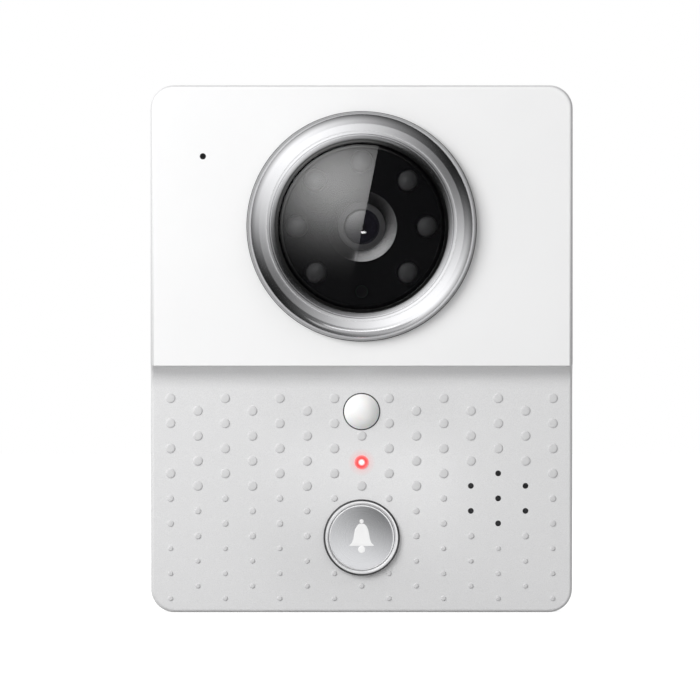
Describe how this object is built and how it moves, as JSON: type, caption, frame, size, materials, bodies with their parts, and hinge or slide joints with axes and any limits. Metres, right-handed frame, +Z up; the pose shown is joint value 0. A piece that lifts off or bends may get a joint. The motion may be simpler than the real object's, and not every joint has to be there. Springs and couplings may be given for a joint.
{
  "type": "video door intercom",
  "caption": "Wall-mounted video door station: domed infrared camera above a step, dotted panel with motion sensor, status light, call button and speaker below, on a screw-on bracket.",
  "frame": {"origin": "centre of the four wall-screw holes, on the bracket's rear face, in the plane of the wall", "axes": "+Z up, +Y into the wall, +X to the right as seen from the front; the front faces -Y"},
  "size_m": [0.108, 0.0295, 0.135],
  "materials": {
    "cover_white": "satin white above the step, silver-white below it",
    "housing_grey": "fine texture",
    "black_plastic": "fine matt texture",
    "light_plastic": "moulded",
    "dome_white": "milky and slightly translucent",
    "seal_rubber": "soft",
    "chrome": "polished",
    "button_metal": "turned and satin",
    "steel": "zinc plated",
    "brass": "plain",
    "window_smoke": "smoked and polished",
    "lens_glass": "coated",
    "pane_glass": "coated",
    "diode_epoxy": "tinted clear",
    "light_red": "clear red",
    "lamp": "lit",
    "board_green": "solder mask",
    "chip_black": "moulded",
    "aluminium": "plain",
    "terminal_green": "moulded",
    "speaker_steel": "black coated",
    "cone_paper": "pressed",
    "mesh_cloth": "woven",
    "ribbon_white": "flat flexible",
    "lead_rubber": "insulated wire"
  },
  "bodies": {
    "intercom": {"front_cover": "cover_white", "rear_housing": "housing_grey", "housing_seal": "seal_rubber", "case_screws": "steel", "cable_grommet": "seal_rubber", "wall_bracket": "steel", "security_screw": "steel", "camera_bezel": "chrome", "bezel_screws": "steel", "camera_window": "window_smoke", "window_seal": "seal_rubber", "camera_mask": "black_plastic", "infrared_leds": "diode_epoxy", "light_sensor": "diode_epoxy", "led_ring_board": "board_green", "led_board_pins": "brass", "lens_barrel": "black_plastic", "lens_glass": "lens_glass", "lens_holder": "black_plastic", "image_sensor": "chip_black", "camera_board": "board_green", "filter_motor": "chip_black", "motion_dome": "dome_white", "motion_sensor": "aluminium", "status_light_pipe": "light_red", "status_led": "lamp", "button_ring": "chrome", "button_nut": "brass", "button_guide": "black_plastic", "button_spring": "steel", "call_switch": "chip_black", "main_board": "board_green", "board_screws": "steel", "processor": "chip_black", "wireless_module": "aluminium", "door_relay": "light_plastic", "capacitors": "aluminium", "terminal_block": "terminal_green", "terminal_screws": "steel", "tamper_switch": "chip_black", "speaker_frame": "speaker_steel", "speaker_magnet": "steel", "speaker_gasket": "seal_rubber", "speaker_mesh": "mesh_cloth", "speaker_retainer": "light_plastic", "microphone_boot": "seal_rubber", "microphone": "aluminium", "lead_sockets": "light_plastic", "microphone_leads": "lead_rubber", "speaker_leads": "lead_rubber", "ribbon_sockets": "light_plastic", "camera_ribbon": "ribbon_white"},
    "call_button": {"call_button": "button_metal", "button_clip": "steel", "call_switch_plunger": "light_plastic"},
    "filter_carrier": {"filter_carrier": "black_plastic", "filter_panes": "pane_glass"},
    "filter_arm": {"filter_arm": "light_plastic"},
    "tamper_plunger": {"tamper_plunger": "light_plastic"},
    "speaker_cone": {"speaker_cone": "cone_paper"}
  },
  "joints": [
    {"name": "call_button_press", "type": "slide", "parent": "intercom", "child": "call_button", "axis": [0, 1, 0], "range_m": [0, 0.0005], "stiffness_N_per_m": 1500, "springref_m": -0.0008, "deforming": ["button_spring"]},
    {"name": "filter_slide", "type": "slide", "parent": "intercom", "child": "filter_carrier", "axis": [-1, 0, 0], "range_m": [0, 0.0064]},
    {"name": "filter_arm_turn", "type": "hinge", "parent": "intercom", "child": "filter_arm", "pos_m": [0, -0.0105, 0.01734], "axis": [0, -1, 0], "range_deg": [0, 41.68]},
    {"name": "tamper_press", "type": "slide", "parent": "intercom", "child": "tamper_plunger", "axis": [0, -1, 0], "range_m": [0, 0.0008], "stiffness_N_per_m": 800, "springref_m": -0.0012},
    {"name": "speaker_cone_move", "type": "slide", "parent": "intercom", "child": "speaker_cone", "axis": [0, -1, 0], "range_m": [-0.00025, 0.00025], "stiffness_N_per_m": 1000}
  ],
  "couplings": [
    {"joint": "filter_arm_turn", "follows": "filter_slide", "rad_per_m": 113.6}
  ]
}
